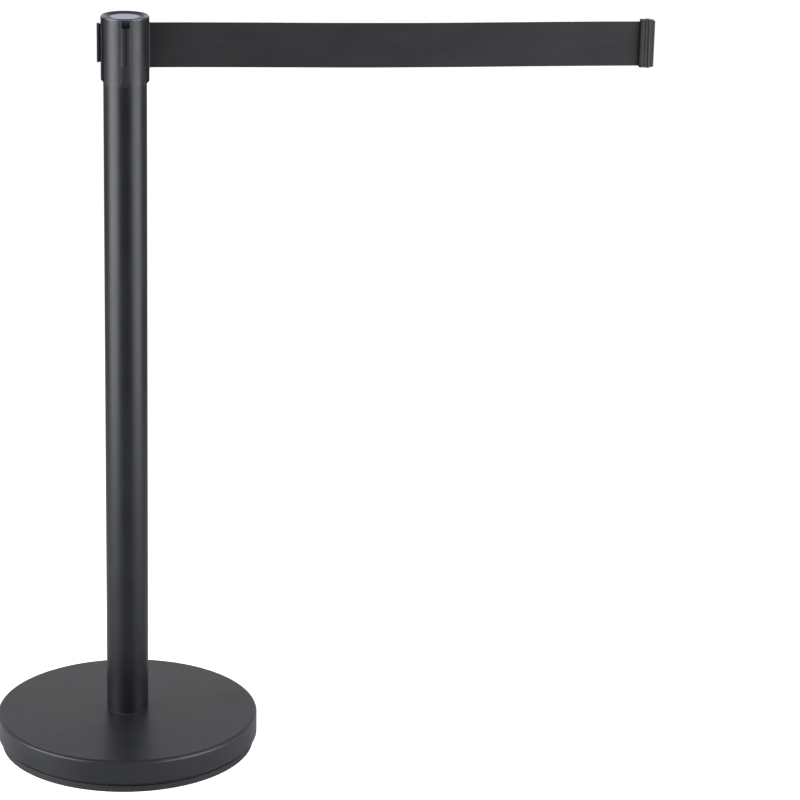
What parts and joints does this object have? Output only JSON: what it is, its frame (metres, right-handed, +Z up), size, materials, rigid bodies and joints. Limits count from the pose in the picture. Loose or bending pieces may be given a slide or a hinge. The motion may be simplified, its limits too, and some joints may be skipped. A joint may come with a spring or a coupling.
{
  "type": "retractable belt stanchion",
  "caption": "Free-standing black queue barrier post on a weighted round base, with a retractable webbing belt drawn out to its end clip.",
  "frame": {"origin": "middle of the base's underside, on the floor", "axes": "+Z up along the post, +X the way the belt leaves the head, -Y the front with one receiver rail"},
  "size_m": [0.7834, 0.32, 0.9112],
  "materials": {
    "ring_rubber": "matt black rubber",
    "pan_steel": "pressed sheet steel, zinc plated",
    "cast_concrete": "rough cast concrete",
    "cover_paint": "satin black powder coat, fine texture",
    "zinc_steel": "zinc plated",
    "post_paint": "satin black powder coat",
    "inner_plastic": "moulded nylon",
    "head_plastic": "satin black moulded ABS",
    "black_screws": "blackened steel",
    "rail_plastic": "black moulded ABS",
    "cap_plastic": "glossy black moulded ABS",
    "label_face": "pale badge with a dark blue ring, satin",
    "bright_steel": "bright drawn steel",
    "bush_plastic": "natural acetal",
    "belt_webbing": "woven black polyester webbing",
    "clip_plastic": "black moulded ABS"
  },
  "bodies": {
    "root": {"floor_ring": "ring_rubber", "weight_pan": "pan_steel", "base_weight": "cast_concrete", "base_cover": "cover_paint", "base_washer": "zinc_steel", "lock_washer": "zinc_steel", "base_bolt": "zinc_steel", "post_gasket": "ring_rubber", "post_foot": "zinc_steel", "post_tube": "post_paint", "head_plug": "inner_plastic", "head_body": "head_plastic", "head_screws": "black_screws", "rail_left": "rail_plastic", "rail_front": "rail_plastic", "rail_rear": "rail_plastic", "rail_screws": "zinc_steel", "outlet_guide": "rail_plastic", "top_cap": "cap_plastic", "cap_label": "label_face", "cap_screws": "zinc_steel", "cassette_base": "pan_steel", "cassette_top": "pan_steel", "guide_pins": "bright_steel", "spindle": "bright_steel", "spindle_clip": "bright_steel", "lower_bush": "bush_plastic", "upper_bush": "bush_plastic", "spring_case": "inner_plastic", "spring_lid": "pan_steel", "mainspring": "bright_steel", "belt_run": "belt_webbing"},
    "spool": {"spool_hub": "inner_plastic", "spool_flange_low": "inner_plastic", "spool_flange_high": "inner_plastic", "belt_anchor": "bright_steel", "belt_roll": "belt_webbing"},
    "belt_end": {"clip_body": "clip_plastic", "clip_plate": "clip_plastic", "belt_pin": "bright_steel"}
  },
  "joints": [
    {"name": "belt_pull", "type": "slide", "parent": "root", "child": "belt_end", "axis": [1, 0, 0], "range_m": [-0.576, 1.4], "deforming": ["belt_run"]},
    {"name": "spool_spin", "type": "hinge", "parent": "root", "child": "spool", "pos_m": [0, 0, 0.876], "axis": [0, 0, 1], "range_deg": [-2350, 5700]}
  ],
  "couplings": [
    {"joint": "spool_spin", "follows": "belt_pull", "rad_per_m": 71}
  ]
}
